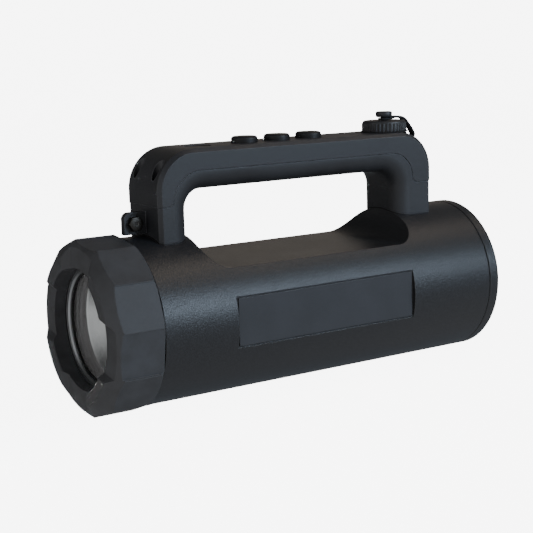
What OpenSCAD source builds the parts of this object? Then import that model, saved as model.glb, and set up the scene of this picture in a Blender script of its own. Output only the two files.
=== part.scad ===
// Handheld searchlight with a milled tube body, a screwed front bezel and a two-part moulded handle.
// The beam leaves along -X, +Z is up and the label side faces -Y. Sizes are in millimetres.
// X is zero at mid-length, Y is zero on the tube's axis, and Z is zero at the bezel's lowest edge.

/* [Tube] */
// Outer diameter of the body tube
tube_d = 88; // [80:1:110]
// Length of the tube between the bezel joint and the rear cap joint
tube_len = 213.2; // [205:0.1:260]
// Height of the shoulder that the bezel closes against
neck_step = 3.5; // [3:0.1:5]
// Wall of the threaded neck
neck_wall = 3; // [2.6:0.1:4]
// Wall of the tube round the rear compartment
tail_wall = 6; // [5:0.1:9]
// Metal left between the hand scoop and the battery bore
scoop_wall = 3.2; // [2.5:0.1:6]
// Radius of the round ends of the hand scoop
scoop_round = 13; // [8:0.5:14]

/* [Label flat] */
// Length of the milled flat for the label
label_len = 115; // [60:1:125]
// Height of the milled flat
label_h = 26.8; // [15:0.1:32]
// Height of the flat's middle above the tube's axis
label_rise = 1; // [-3:0.5:3]
// Distance of the flat from the bezel joint
label_start = 42; // [25:1:55]
// Thickness of the label plate
label_t = 0.6; // [0.4:0.1:1]

/* [Bezel] */
// Length of the bezel in front of its joint with the tube
bezel_len = 29; // [27:0.5:36]
// Open gap between the bezel and the tube's shoulder
bezel_gap = 0.7; // [0.3:0.1:1]
// How far a middle flat of the bezel stands outside the tube
bezel_proud = 0.4; // [0.2:0.1:3]
// Step between the low, middle and high flats
flat_step = 0.5; // [0.2:0.1:0.8]
// Turn of the bezel about the beam axis
bezel_turn = -8.6; // [-45:0.1:45]
// Diameter of the front rim
rim_d = 76.6; // [72:0.1:80]
// Length of the front cone
cone_len = 6.3; // [5:0.1:9]
// Depth of the four notches in the rim
rim_drop = 3; // [1.5:0.1:4]
// Width of a rim notch at its floor
notch_w = 25; // [18:0.5:30]
// Thread pitch of the bezel and of the rear cap
screw_pitch = 2; // [1.5:0.1:3]

/* [Lens and lamp] */
// Width of the bezel's shoulder in front of the lens pack
lens_seat = 5.2; // [3.7:0.1:7]
// Depth of the lens ring behind the front rim
lens_recess = 9.2; // [7.5:0.1:11]
// Thickness of the lens
lens_t = 3; // [2.5:0.1:5]
// Thickness of the ring in front of the lens
ring_t = 2.3; // [1.5:0.1:3]
// Thickness of the gasket in front of the lens
gasket_t = 1; // [0.5:0.1:1.5]
// Width of the ring's visible lip
ring_lip = 2.7; // [1:0.1:3.5]
// Depth of the reflector bowl
bowl_depth = 38; // [32:0.5:42]
// Wall of the reflector
bowl_wall = 1.5; // [1:0.1:2]
// Diameter of the lamp's hole in the bowl
bowl_hole_d = 12; // [11:0.5:16]
// Diameter of the lamp's glass bulb
bulb_d = 9; // [7:0.5:10]

/* [Battery] */
// Diameter of a battery cell
cell_d = 18.4; // [18:0.1:19]
// Length of a battery cell
cell_len = 65; // [60:0.5:66]
// Wall of the battery sleeve
sleeve_t = 2; // [1:0.1:3]
// Room for the spring behind the cells
spring_len = 10; // [8:0.5:14]

/* [Rear cap] */
// Length of the rear cap outside the tube
cap_len = 7.6; // [7:0.1:14]
// Length of the rear cap's threaded plug
plug_len = 10; // [8:0.5:14]
// Wall of the threaded plug
plug_wall = 4.6; // [4:0.1:6]
// Chamfer round the rear cap
cap_edge = 1.2; // [0.5:0.1:2]
// Diameter of the two spanner holes
spanner_d = 4; // [3:0.5:6]
// Distance between the two spanner holes
spanner_pitch = 56; // [40:1:60]

/* [Handle] */
// Overall length of the handle
handle_len = 178.7; // [170:0.1:190]
// Width of the handle's cover
handle_w = 35.4; // [34:0.1:40]
// Height of the handle's top above the tube
handle_rise = 44.3; // [42:0.1:55]
// Height of the grip bar
bar_h = 21.3; // [20:0.1:22.5]
// Distance of the handle's front from the bezel joint
handle_setback = 13; // [12.5:0.1:16]
// Depth of the front leg
front_leg = 18; // [16:0.1:24]
// Depth of the rear leg
rear_leg = 25.2; // [24.5:0.1:30]
// Radius of the handle's outer corners
outer_corner = 21.5; // [19:0.5:23]
// Radius of the hand gap's upper corners
inner_corner = 10; // [8:0.5:12]
// Radius of the grip's inner edges
grip_round = 9; // [5:0.5:10]
// Bevel along the cover's outer edges
cover_bevel = 2; // [1:0.1:3]
// Height of the cover above its seam along the bar
cover_h = 11.1; // [10.6:0.1:12.5]
// Thickness of the cover down the front leg
cover_front = 8.5; // [7.5:0.1:10]
// Thickness of the cover down the rear leg
cover_rear = 13.7; // [12.5:0.1:15]
// Height of the cover's lower ends below the handle's top
cover_drop = 28.5; // [26:0.5:30]
// Step from the cover in to the frame
frame_step = 0.25; // [0.1:0.05:1]
// Width of the seam between cover and frame
seam_gap = 0.2; // [0.15:0.05:0.5]
// Thickness of the gaskets under the feet
foot_gasket_t = 0.8; // [0.5:0.1:1.5]

/* [Lanyard lug] */
// Reach of the lug in front of the front leg
lug_reach = 12.1; // [11.5:0.1:12.2]
// Height of the lug
lug_h = 11.4; // [10:0.1:14]
// Thickness of the lug
lug_t = 4; // [3:0.1:8]
// Diameter of the bolt through the lug
lug_bolt_d = 4; // [3:0.5:6]
// Width of the lug bolt's head across flats
lug_head_w = 7; // [6:0.1:9]
// Height of the lug's lower edge above the tube
lug_clear = 1.5; // [1:0.1:4]

/* [Controls] */
// Diameter of a push button
button_d = 14.4; // [10:0.1:17]
// Distance of the first button from the handle's front
button_start = 62.5; // [58:0.5:66]
// Distance between buttons
button_pitch = 20.9; // [19.5:0.1:24]
// How far a button stands above the handle
button_proud = 3.4; // [2.5:0.1:6]
// Travel of a button
button_travel = 1.5; // [0.8:0.1:2]
// Distance of the indicator from the handle's front
indicator_start = 33.6; // [33:0.1:40]
// Diameter of the indicator recess
indicator_d = 14.6; // [10:0.1:16]

/* [Charging port] */
// Distance of the port's axis from the handle's rear
port_setback = 20.7; // [19:0.1:22]
// Diameter of the port's shell
port_d = 21; // [18:0.5:22]
// Wall of the dust cap's skirt
dust_cap_wall = 1.3; // [1:0.1:2]
// Height of the dust cap's skirt
dust_cap_h = 5.9; // [5:0.1:9]
// Number of grip ribs on the dust cap
dust_cap_ribs = 28; // [16:1:36]
// Diameter of the knob on the dust cap
knob_d = 9; // [8:0.1:11]
// Thread pitch of the dust cap
dust_cap_pitch = 1.5; // [1:0.1:2]
// Thickness of the tether strap
strap_t = 1.3; // [1:0.1:2]
// Width of the tether strap
strap_w = 4.5; // [3:0.5:6]

/* [Hidden] */
$fn = 96;
// Clearances: a running or loose fit, a close fit between fixed pieces, and a threaded fit
loose = 0.3;
close = 0.1;
thread_gap = 0.5;
// More than any radius on the part
far_out = 70;

// Stations along the beam axis
total_len = bezel_len + tube_len + cap_len;
x_front = -total_len / 2;
x_seam = x_front + bezel_len;
x_tail = x_seam + tube_len;
x_end = x_tail + cap_len;

// Radii about the beam axis
tube_r = tube_d / 2;
neck_r = tube_r - neck_step;
cavity_r = neck_r - neck_wall;
tail_r = tube_r - tail_wall;
joint_edge = 0.4;
plug_r = tail_r - thread_gap;
plug_bore_r = plug_r - plug_wall;

// Battery: two layers of four cells in a sleeve, in the main bore
layers = 2;
pack_r = cell_d / 2 * (1 + sqrt(2)) + close;
sleeve_bore_r = pack_r + close;
sleeve_r = sleeve_bore_r + sleeve_t;
bore_r = sleeve_r + loose;
scoop_floor = bore_r + scoop_wall;

// Bezel outline: twelve flats in low, middle and high steps
flats = 12;
half_flat = 180 / flats;
function flat_apothem(k) = tube_r + bezel_proud + flat_step * (k % 3 - 1);
function flat_corner_r(k) = flat_apothem(k) / cos(half_flat);
bezel_outline = [
    for (k = [0 : flats - 1])
        for (side = [-1, 1])
            let (a = bezel_turn + 2 * half_flat * k + side * half_flat)
                [-flat_corner_r(k) * cos(a), flat_corner_r(k) * sin(a)]
];
bezel_r = flat_corner_r(2);
bezel_bore_r = neck_r + thread_gap;
x_bezel = x_seam - bezel_gap;
axis_z = -min([for (p = bezel_outline) p[1]]);

// Lens pack, from the front back
x_ring = x_front + lens_recess;
x_gasket = x_ring + ring_t + close;
x_lens = x_gasket + gasket_t + close;
x_lens_back = x_lens + lens_t;
lens_r = cavity_r - 0.8;
pocket_r = lens_r + loose;
aperture_r = lens_r - lens_seat;
ring_bore_r = aperture_r - ring_lip;

// Reflector: a paraboloid whose flange lies between the lens and the neck's front face
flange_t = 1.5;
flange_r = neck_r - 1;
bowl_r = aperture_r + 1;
x_bowl = x_lens_back + close;
x_neck = x_bowl + flange_t;
x_vertex = x_bowl + bowl_depth;
bowl_focus = bowl_r * bowl_r / (4 * bowl_depth);
bowl_hole_r = bowl_hole_d / 2;
function bowl_x(r) = x_vertex - r * r / (4 * bowl_focus);
bowl_steps = 14;
bowl_radii = [for (i = [0 : bowl_steps]) bowl_hole_r + (bowl_r - bowl_hole_r) * i / bowl_steps];
x_hole_rim = bowl_x(bowl_hole_r);

// Inner pieces behind the reflector
wall_x = x_vertex + 1;
holder_setback = 6;
x_holder = x_hole_rim + bowl_wall + holder_setback;
holder_t = 5;
x_ballast = x_holder + holder_t + loose;

// Inner pieces from the rear cap forward; the ballast fills what is left between the two groups
x_cap_floor = x_tail + 0.8;
disc_t = 1.5;
x_disc = x_cap_floor - disc_t;
disc_r = plug_bore_r - loose;
cell_gap = 0.5;
x_cells_end = x_disc - spring_len;
x_cells = x_cells_end - layers * cell_len - (layers - 1) * cell_gap;
contact_t = 1.6;
x_contact = x_cells - loose - contact_t;
x_ballast_end = x_contact - loose;
spring_wire = 1.2;
spring_r = 6;
spring_turns = 3;

// Handle, with heights above the beam axis
handle_x0 = x_seam + handle_setback;
handle_x1 = handle_x0 + handle_len;
gap_x0 = handle_x0 + front_leg;
gap_x1 = handle_x1 - rear_leg;
handle_top = tube_r + handle_rise;
bar_under = handle_top - bar_h;
seam_z = handle_top - cover_h;
cover_end_z = handle_top - cover_drop;
half_w = handle_w / 2;
front_round = 16.5;
rear_round = 15;
seam_corner = 3;
foot_r = tube_r + foot_gasket_t;
x_front_wall = gap_x0 + 1.5;
x_rear_wall = gap_x1 + 1;
tail_bore_setback = 4;
x_tail_bore = gap_x1 + tail_bore_setback;

// Lug
lug_x0 = handle_x0 - lug_reach;
lug_z0 = tube_r + lug_clear;
lug_round = 3.5;
lug_hole_x = lug_x0 + lug_h / 2;
lug_hole_z = lug_z0 + lug_h / 2;
lug_bolt_r = lug_bolt_d / 2;
lug_head_r = lug_head_w / sqrt(3);
lug_head_h = 2.8;

// Controls, from the frame's top up
board_t = 1.6;
board_z = seam_z - seam_gap + close;
switch_side = 6;
switch_h = 2.5;
plunger_h = 0.5;
plunger_r = 1.75;
plunger_z = board_z + board_t + switch_h + plunger_h;
button_rim_z = plunger_z + button_travel + 0.2;
button_rim_t = 1;
button_rim = 1.2;
button_r = button_d / 2;
pocket_roof = button_rim_z + button_rim_t + close;
pocket_half = button_r + button_rim + 2;
indicator_x = handle_x0 + indicator_start;
indicator_r = indicator_d / 2;
indicator_depth = 2.2;
window_r = indicator_r - 0.6;
window_drop = 0.4;
button_x = [for (i = [0 : 2]) handle_x0 + button_start + button_pitch * i];
pocket_x0 = indicator_x - window_r;
pocket_tail = 7;
pocket_x1 = button_x[2] + button_r + button_rim + pocket_tail;

// Port, dust cap and tether
port_x = handle_x1 - port_setback;
port_r = port_d / 2;
port_base_z = bar_under + 3;
socket_r = port_r - 2.5;
socket_floor = seam_z + 3;
tether_ring_t = 0.5;
cap_z = handle_top + tether_ring_t + 0.2;
cap_skirt_r = port_r + thread_gap;
dust_cap_r = cap_skirt_r + dust_cap_wall;
cap_roof_t = 1.8;
cap_top = cap_z + dust_cap_h;
cap_roof = cap_top - cap_roof_t;
seal_t = 0.5;
port_top = cap_roof - seal_t - 2 * close;
rib_r = 0.8;
rib_sink = 0.2;
rib_out_r = dust_cap_r - rib_sink + rib_r;
tether_ring_r = rib_out_r + 0.8;
neck_knob_r = 1.95;
eye_ring_t = 1.3;
eye_ring_z = cap_top + 0.25;
knob_z = eye_ring_z + eye_ring_t + 0.25;
knob_h = 3.3;
eye_bore_r = neck_knob_r + loose;
eye_ring_r = knob_d / 2 - 0.3;
pin_r = 0.8;
pin_circle = 4.5;

// Screws
cover_screw_r = 1.5;
cover_head_r = 2.75;
cover_head_h = 2.6;
cover_hole_r = 3.3;
cover_floor_t = 4.2;
cover_seat_z = cover_end_z + cover_floor_t;
cover_screw_len = 13.5;
cover_screw_side = 7.4;
cover_screw_y = half_w - cover_screw_side;
cover_screw_rear = 5;
cover_screw_x = [handle_x0 + cover_front / 2, handle_x1 - cover_screw_rear];
// How far a piece reaches into its neighbour where the two are one solid
sink = 0.5;
bolt_r = 2;
bolt_head_r = 3.5;
bolt_head_h = 2.5;
bolt_side = 8.7;
bolt_y = half_w - bolt_side;
bolt_front_x = handle_x0 + front_leg / 2;
bolt_rear_x = handle_x1 - rear_leg / 2;
bolt_wall = 3.4;
bolt_top = cover_end_z - 3;
lead_r = 1.8;
lead_x = port_x + 4;
lead_z = seam_z + 1.8;

// Strap centre line in the X-Z plane, from the eye over the handle's rear corner to the base ring
strap_reach = 21;
strap_rise = 1.4;
strap_drop = 11.4;
strap_path = [
    [port_x + eye_ring_r + close, eye_ring_z + eye_ring_t / 2],
    [port_x + 0.44 * strap_reach, eye_ring_z + strap_rise],
    [port_x + 0.66 * strap_reach, eye_ring_z + 0.05 * strap_rise],
    [port_x + 0.83 * strap_reach, eye_ring_z - 0.33 * strap_drop],
    [port_x + 0.97 * strap_reach, eye_ring_z - 0.68 * strap_drop],
    [port_x + strap_reach, eye_ring_z - 0.86 * strap_drop],
    [port_x + 0.93 * strap_reach, eye_ring_z - strap_drop],
    [port_x + 0.81 * strap_reach, eye_ring_z - 0.95 * strap_drop],
    [port_x + rib_out_r + 0.45, handle_top + close + tether_ring_t / 2]
];

// Lifts what is built round the beam axis to its place
module on_axis() {
    translate([0, 0, axis_z]) children();
}

// Turns a profile of [radius, x] points about the beam axis
module turned() {
    rotate([0, 90, 0]) rotate_extrude() children();
}

// A plain tube about the beam axis
module ring(x0, x1, r_in, r_out) {
    turned() translate([r_in, x0]) square([r_out - r_in, x1 - x0]);
}

// Extrudes an outline in Y and Z along X
module along_x(x0, x1) {
    translate([x0, 0, 0]) rotate([90, 0, 90]) linear_extrude(x1 - x0) children();
}

// Extrudes an outline in X and Z evenly to both sides of Y zero
module across_y(width) {
    rotate([90, 0, 0]) linear_extrude(width, center = true) children();
}

// An upright cylinder on the beam axis' own heights
module post(x, y, z0, z1, r) {
    translate([x, y, z0]) cylinder(h = z1 - z0, r = r);
}

// Points of a smooth curve through the given points
function blend4(a, b, c, d, t) =
    0.5 * (2 * b + (c - a) * t + (2 * a - 5 * b + 4 * c - d) * t * t
        + (3 * b - a - 3 * c + d) * t * t * t);
function smooth_path(p, steps) = [
    for (i = [0 : len(p) - 2])
        for (s = [0 : steps - 1])
            blend4(p[max(i - 1, 0)], p[i], p[i + 1], p[min(i + 2, len(p) - 1)], s / steps),
    p[len(p) - 1]
];

// Outline of an even band along a path in the plane
function path_normal(p, i) =
    let (d = p[min(i + 1, len(p) - 1)] - p[max(i - 1, 0)])
        [-d[1], d[0]] / norm(d);
module band(p, t) {
    n = len(p);
    polygon(concat(
        [for (i = [0 : n - 1]) p[i] + path_normal(p, i) * t / 2],
        [for (i = [n - 1 : -1 : 0]) p[i] - path_normal(p, i) * t / 2]
    ));
}

// Tube body with neck, bores, hand scoop and label flat
module scoop_profile() {
    floor_x0 = x_front_wall + scoop_round;
    floor_x1 = x_rear_wall - scoop_round;
    translate([floor_x0, scoop_floor]) square([floor_x1 - floor_x0, far_out]);
    translate([x_front_wall, scoop_floor + scoop_round])
        square([x_rear_wall - x_front_wall, far_out]);
    for (x = [floor_x0, floor_x1])
        translate([x, scoop_floor + scoop_round]) circle(scoop_round);
}
label_half = label_h / 2;
label_depth_y = sqrt(tube_r * tube_r - pow(label_half + abs(label_rise), 2));
label_x0 = x_seam + label_start;
o_ring_r = 1;
neck_groove_x = x_seam - 2.2;
module neck_groove_profile() {
    translate([neck_r - 1.9, neck_groove_x - 1.3]) square([3, 2.6]);
}
module tube_shape() {
    difference() {
        union() {
            turned() polygon([
                [0, x_seam], [tube_r, x_seam], [tube_r, x_tail - joint_edge],
                [tube_r - joint_edge, x_tail], [0, x_tail]
            ]);
            ring(x_neck, x_seam + 1, 0, neck_r);
        }
        ring(x_neck - 1, wall_x, 0, cavity_r);
        ring(wall_x - 1, x_tail_bore + 1, 0, bore_r);
        ring(x_tail_bore, x_tail + 1, 0, tail_r);
        turned() neck_groove_profile();
        across_y(2 * far_out) scoop_profile();
        translate([label_x0, -far_out, label_rise - label_half])
            cube([label_len, far_out - label_depth_y, label_h]);
        for (x = [bolt_front_x, bolt_rear_x]) {
            for (side = [-1, 1]) {
                post(x, side * bolt_y, bore_r, far_out, bolt_r + close);
                post(x, side * bolt_y, bore_r, bolt_seat_z, bolt_head_r + loose);
            }
        }
        post(lead_x, 0, bore_r, far_out, lead_r + loose);
    }
}
bolt_seat_z = sqrt(tube_r * tube_r - bolt_y * bolt_y) - bolt_wall;
module body_tube() {
    color("#23262b") on_axis() tube_shape();
}

module label_plate() {
    inset = 1;
    color("#3b4049") on_axis()
        translate([label_x0 + inset, -label_depth_y - label_t, label_rise - label_half + inset])
            cube([label_len - 2 * inset, label_t, label_h - 2 * inset]);
}

module bezel_o_ring() {
    color("#111111") on_axis()
        turned() translate([neck_r - 0.75, neck_groove_x]) circle(o_ring_r);
}

// Bezel: stepped flats cut by a front cone, with a notched rim
module bezel_notch() {
    lead = 1;
    half = notch_w / 2;
    flare = (rim_drop + 1) * lead;
    translate([0, -ring_bore_r / 2, 0])
        rotate([90, 0, 0])
            linear_extrude(far_out)
                polygon([
                    [x_front - 1, -half - flare], [x_front - 1, half + flare],
                    [x_front + rim_drop, half], [x_front + rim_drop, -half]
                ]);
}
module bezel_shape() {
    rear_edge = 1.5;
    mouth = 0.6;
    difference() {
        intersection() {
            along_x(x_front, x_bezel) polygon(bezel_outline);
            turned() polygon([
                [0, x_front], [rim_d / 2, x_front], [bezel_r, x_front + cone_len],
                [bezel_r, x_bezel - rear_edge], [bezel_r - rear_edge, x_bezel], [0, x_bezel]
            ]);
        }
        ring(x_front - 1, x_ring + 1, 0, aperture_r);
        turned() polygon([
            [0, x_front - mouth], [aperture_r + 2 * mouth, x_front - mouth],
            [aperture_r, x_front + mouth], [0, x_front + mouth]
        ]);
        ring(x_ring, x_lens_back + 1, 0, pocket_r);
        ring(x_lens_back, x_bezel + 1, 0, bezel_bore_r);
        for (k = [0 : 3])
            rotate([-bezel_turn - 90 * k, 0, 0]) bezel_notch();
    }
}
module front_bezel() {
    color("#26282c") on_axis() bezel_shape();
}

module lens_ring() {
    color("#4a4d52") on_axis() ring(x_ring + close, x_ring + ring_t, ring_bore_r, lens_r);
}

module lens_gasket() {
    color("#18191b") on_axis() ring(x_gasket, x_gasket + gasket_t, ring_bore_r - 0.6, lens_r);
}

module front_lens() {
    edge = 0.6;
    color("#cfd6d8") on_axis()
        turned() polygon([
            [0, x_lens], [lens_r - edge, x_lens], [lens_r, x_lens + edge],
            [lens_r, x_lens_back - edge], [lens_r - edge, x_lens_back], [0, x_lens_back]
        ]);
}

// Spun reflector bowl with a flat flange and a collar for the lamp
module reflector() {
    inner = [for (r = bowl_radii) [r, bowl_x(r)]];
    outer = [for (i = [bowl_steps : -1 : 0]) inner[i] + [bowl_wall, bowl_wall]];
    color("#c9ccd0") on_axis()
        turned() union() {
            polygon(concat(inner, outer));
            translate([bowl_r - 0.5, x_bowl]) square([flange_r - bowl_r + 0.5, flange_t]);
            translate([bowl_hole_r, x_hole_rim]) square([bowl_wall, 4]);
        }
}

bulb_r = bulb_d / 2;
base_r = bowl_hole_r - 0.5;
x_focus = x_vertex - bowl_focus;
x_base = x_hole_rim + 1;
module lamp_capsule() {
    stem_r = bulb_r * 0.5;
    color("#e8eef0") on_axis() union() {
        translate([x_focus, 0, 0]) sphere(bulb_r);
        ring(x_focus - 1.9 * bulb_r, x_focus, 0, stem_r);
        ring(x_focus, x_base - close, 0, stem_r);
        translate([x_focus - 1.9 * bulb_r, 0, 0]) sphere(stem_r);
    }
}

module lamp_base() {
    color("#d8d3c6") on_axis() union() {
        ring(x_base, x_holder + holder_t - 1, 0, base_r);
        ring(x_hole_rim + 5, x_holder - close, 0, base_r + 2);
    }
}

module lamp_holder() {
    color("#2f3236") on_axis()
        ring(x_holder, x_holder + holder_t, base_r + close, bore_r - loose);
}

module ballast() {
    edge = 1;
    case_r = bore_r - loose;
    color("#6b7076") on_axis()
        turned() polygon([
            [0, x_ballast], [case_r - edge, x_ballast], [case_r, x_ballast + edge],
            [case_r, x_ballast_end - edge], [case_r - edge, x_ballast_end], [0, x_ballast_end]
        ]);
}

module front_contact() {
    color("#2f6b45") on_axis() ring(x_contact, x_contact + contact_t, 0, bore_r - loose);
}

// Two layers of four cells
module battery_cells() {
    half = cell_d / 2 + close / 2;
    color("#3d6f9e") on_axis()
        for (layer = [0 : layers - 1])
            for (y = [-half, half])
                for (z = [-half, half])
                    translate([x_cells + layer * (cell_len + cell_gap), y, z])
                        rotate([0, 90, 0]) cylinder(h = cell_len, r = cell_d / 2);
}

module battery_sleeve() {
    color("#1d1f22") on_axis() ring(x_cells, x_cells_end, sleeve_bore_r, sleeve_r);
}

// One wound coil spring on the tail contact, swept along its helix
module contact_spring() {
    rings = 12 * spring_turns;
    sides = 6;
    x0 = x_cells_end + spring_wire / 2 + close;
    x1 = x_disc - spring_wire / 2 - close;
    pts = [
        for (i = [0 : rings])
            let (a = 360 * spring_turns * i / rings, c = x0 + (x1 - x0) * i / rings)
                for (s = [0 : sides - 1])
                    let (b = 360 * s / sides, r = spring_r + spring_wire / 2 * cos(b))
                        [c + spring_wire / 2 * sin(b), r * cos(a), r * sin(a)]
    ];
    walls = [
        for (i = [0 : rings - 1])
            for (s = [0 : sides - 1])
                let (t = (s + 1) % sides, p = i * sides)
                    for (f = [[p + s, p + t, p + sides + t], [p + s, p + sides + t, p + sides + s]]) f
    ];
    first = [for (s = [1 : sides - 2]) [0, s + 1, s]];
    last = [for (s = [1 : sides - 2]) [rings * sides, rings * sides + s, rings * sides + s + 1]];
    color("#b9bcc0") on_axis() polyhedron(points = pts, faces = concat(walls, first, last));
}

module tail_contact() {
    color("#2f6b45") on_axis() ring(x_disc, x_cap_floor - close, 0, disc_r);
}

// Rear cap with a threaded plug, an o-ring groove and two spanner holes
cap_groove_x = x_tail - 2.4;
module rear_cap() {
    hole_depth = 4;
    x_rim = x_tail + loose;
    color("#23262b") on_axis() difference() {
        turned() polygon([
            [0, x_cap_floor], [plug_bore_r, x_cap_floor], [plug_bore_r, x_tail - plug_len],
            [plug_r, x_tail - plug_len], [plug_r, x_rim],
            [tube_r - joint_edge, x_rim], [tube_r, x_rim + joint_edge],
            [tube_r, x_end - cap_edge], [tube_r - cap_edge, x_end], [0, x_end]
        ]);
        turned() translate([plug_r - 1.9, cap_groove_x - 1.3]) square([4, 2.6]);
        for (side = [-1, 1])
            translate([x_end - hole_depth, side * spanner_pitch / 2, 0])
                rotate([0, 90, 0]) cylinder(h = hole_depth + 1, r = spanner_d / 2);
    }
}

module rear_cap_o_ring() {
    color("#111111") on_axis()
        turned() translate([plug_r - 0.75, cap_groove_x]) circle(o_ring_r);
}

// Outline of a bar seen end-on: rounded below, running on upwards
module round_below(half, r, low, high) {
    translate([-half + r, low]) square([2 * (half - r), high - low]);
    translate([-half, low + r]) square([2 * half, high - low - r]);
    for (side = [-1, 1])
        translate([side * (half - r), low + r]) circle(r);
}

// Outline of a bar seen end-on: bevelled above, running on downwards
module bevel_above(half, bevel, low, high) {
    polygon([
        [-half, low], [half, low], [half, high - bevel], [half - bevel, high],
        [-half + bevel, high], [-half, high - bevel]
    ]);
}

// Everything outside the hand gap, with the grip's rounded inner edges carried round the corners
module outside_gap(half) {
    low_x = gap_x0 + inner_corner;
    high_x = gap_x1 - inner_corner;
    mid_z = bar_under - inner_corner;
    along_x(low_x, high_x) round_below(half, grip_round, bar_under, far_out * 2);
    for (end = [[low_x, -1], [high_x, 1]]) {
        intersection() {
            translate([end[0], 0, mid_z])
                rotate([90, 0, 0]) rotate_extrude()
                    rotate([0, 0, -90]) round_below(half, grip_round, inner_corner, far_out);
            translate([min(end[0], end[0] + end[1] * far_out), -far_out, mid_z])
                cube([far_out, 2 * far_out, far_out]);
        }
        translate([end[0], 0, 0])
            linear_extrude(mid_z)
                rotate([0, 0, -90 * end[1]]) round_below(half, grip_round, inner_corner, far_out);
    }
}

// Everything inside the handle's outer faces, bevelled all along the outside
module inside_shell(half, step, bevel) {
    r = outer_corner - step;
    low_x = handle_x0 + outer_corner;
    high_x = handle_x1 - outer_corner;
    mid_z = handle_top - outer_corner;
    along_x(low_x, high_x) bevel_above(half, bevel, 0, handle_top - step);
    for (end = [[low_x, -1], [high_x, 1]]) {
        intersection() {
            translate([end[0], 0, mid_z])
                rotate([90, 0, 0]) rotate_extrude()
                    rotate([0, 0, -90]) bevel_above(half, bevel, 0, r);
            translate([min(end[0], end[0] + end[1] * far_out), -far_out, mid_z])
                cube([far_out, 2 * far_out, far_out]);
        }
        translate([end[0], 0, 0])
            linear_extrude(mid_z)
                rotate([0, 0, -90 * end[1]]) bevel_above(half, bevel, 0, r);
    }
}

module handle_shape(step, bevel) {
    intersection() {
        outside_gap(half_w - step);
        inside_shell(half_w - step, step, bevel);
    }
}

// Points on an arc
function arc(x, z, r, a0, a1, n) = [
    for (i = [0 : n])
        let (a = a0 + (a1 - a0) * i / n)
            [x + r * cos(a), z + r * sin(a)]
];

// Side view of the cover's share of the handle, grown by the given seam
module cover_profile(grow) {
    front_edge = handle_x0 + cover_front;
    rear_edge = handle_x1 - cover_rear;
    corner_z = cover_end_z + seam_corner;
    corner_r = seam_corner + grow;
    steps = 12;
    past = 5;
    polygon(concat(
        [[handle_x0 - past, handle_top + past], [handle_x0 - past, cover_end_z - grow]],
        arc(front_edge - seam_corner, corner_z, corner_r, -90, 0, 5),
        arc(front_edge + front_round, seam_z - front_round, front_round - grow, 180, 90, steps),
        arc(rear_edge - rear_round, seam_z - rear_round, rear_round - grow, 90, 0, steps),
        arc(rear_edge + seam_corner, corner_z, corner_r, 180, 270, 5),
        [[handle_x1 + past, cover_end_z - grow], [handle_x1 + past, handle_top + past]]
    ));
}

// Places a cover screw, upright, with its head's seat at zero
module at_cover_screws() {
    for (x = cover_screw_x)
        for (side = [-1, 1])
            translate([x, side * cover_screw_y, cover_seat_z]) children();
}

module lug_profile() {
    lug_x1 = handle_x0 + 2;
    top = lug_z0 + lug_h;
    translate([lug_x0, lug_z0]) square([lug_x1 - lug_x0, lug_h - lug_round]);
    translate([lug_x0 + lug_round, lug_z0]) square([lug_x1 - lug_x0 - lug_round, lug_h]);
    translate([lug_x0 + lug_round, top - lug_round]) circle(lug_round);
}

module frame_blank() {
    difference() {
        handle_shape(frame_step, cover_bevel);
        across_y(2 * far_out) cover_profile(seam_gap);
    }
}

module handle_frame() {
    color("#33373f") on_axis() difference() {
        union() {
            frame_blank();
            across_y(lug_t) lug_profile();
        }
        ring(handle_x0 - far_out, handle_x1 + far_out, 0, foot_r);
        translate([lug_hole_x, 0, lug_hole_z])
            rotate([90, 0, 0]) cylinder(h = lug_t + 2, r = lug_bolt_r + close, center = true);
        post(port_x, 0, port_base_z - close, far_out * 2, port_r + close);
        post(lead_x, 0, 0, port_base_z + 1, lead_r + loose);
        for (x = [bolt_front_x, bolt_rear_x])
            for (side = [-1, 1])
                post(x, side * bolt_y, 0, bolt_top + 1, bolt_r + close);
        at_cover_screws()
            translate([0, 0, -cover_screw_len - 1])
                cylinder(h = cover_screw_len, r = cover_screw_r + close);
    }
}

module handle_cover() {
    color("#3a3f48") on_axis() difference() {
        intersection() {
            handle_shape(0, cover_bevel);
            across_y(2 * far_out) cover_profile(0);
        }
        translate([pocket_x0, -pocket_half, seam_z - 1])
            cube([pocket_x1 - pocket_x0, 2 * pocket_half, pocket_roof - seam_z + 1]);
        for (x = button_x)
            post(x, 0, seam_z, far_out * 2, button_r + loose);
        post(indicator_x, 0, handle_top - indicator_depth, far_out * 2, indicator_r);
        post(indicator_x, 0, seam_z, handle_top, window_r - 1);
        post(port_x, 0, 0, far_out * 2, port_r + close);
        translate([pocket_x1 - 1, -lead_r - loose, seam_z - 1])
            cube([port_x - pocket_x1, 2 * (lead_r + loose), lead_z - seam_z + lead_r + 1 + loose]);
        at_cover_screws() {
            cylinder(h = far_out, r = cover_hole_r);
            translate([0, 0, -cover_floor_t - 1])
                cylinder(h = cover_floor_t + 2, r = cover_screw_r + close);
        }
    }
}

module foot_gaskets() {
    color("#151618") on_axis() difference() {
        intersection() {
            frame_blank();
            ring(handle_x0 - 1, handle_x1 + 1, tube_r + close / 2, foot_r - close / 2);
            translate([handle_x0 - 1, -far_out, 0]) cube([handle_len + 2, 2 * far_out, far_out]);
        }
        for (x = [bolt_front_x, bolt_rear_x])
            for (side = [-1, 1])
                post(x, side * bolt_y, 0, far_out, bolt_r + close);
        post(lead_x, 0, 0, far_out, lead_r + loose);
    }
}

module handle_bolts() {
    color("#8a8d91") on_axis()
        for (x = [bolt_front_x, bolt_rear_x])
            for (side = [-1, 1]) {
                post(x, side * bolt_y, bolt_seat_z - bolt_head_h, bolt_seat_z, bolt_head_r);
                post(x, side * bolt_y, bolt_seat_z - sink, bolt_top, bolt_r);
            }
}

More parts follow.
